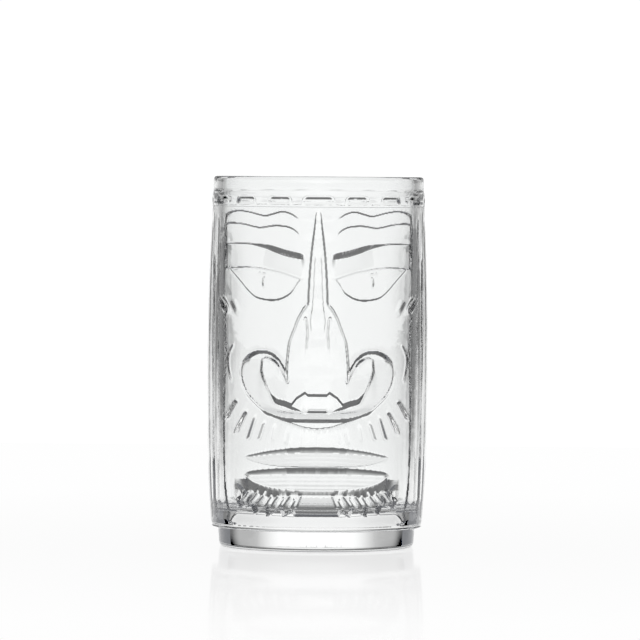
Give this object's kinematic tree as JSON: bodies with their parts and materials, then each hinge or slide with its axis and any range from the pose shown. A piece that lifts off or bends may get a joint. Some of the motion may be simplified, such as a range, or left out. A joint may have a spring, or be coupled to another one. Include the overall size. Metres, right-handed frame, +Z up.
{
  "type": "tiki drinking glass",
  "caption": "Clear pressed-glass tumbler with a carved tiki face in relief, a notched headband under a plain rim, fluted sides and a thick footed base, for mixed drinks.",
  "frame": {"origin": "centre of the base, on the surface the glass stands on", "axes": "+Z up along the glass's axis, -Y out of the face, +X to the viewer's right when facing the face"},
  "size_m": [0.082, 0.0831, 0.137],
  "materials": {
    "glass": "clear, fire-polished"
  },
  "bodies": {
    "root": {"foot": "glass", "bowl": "glass", "headband": "glass", "rim": "glass"}
  },
  "joints": []
}
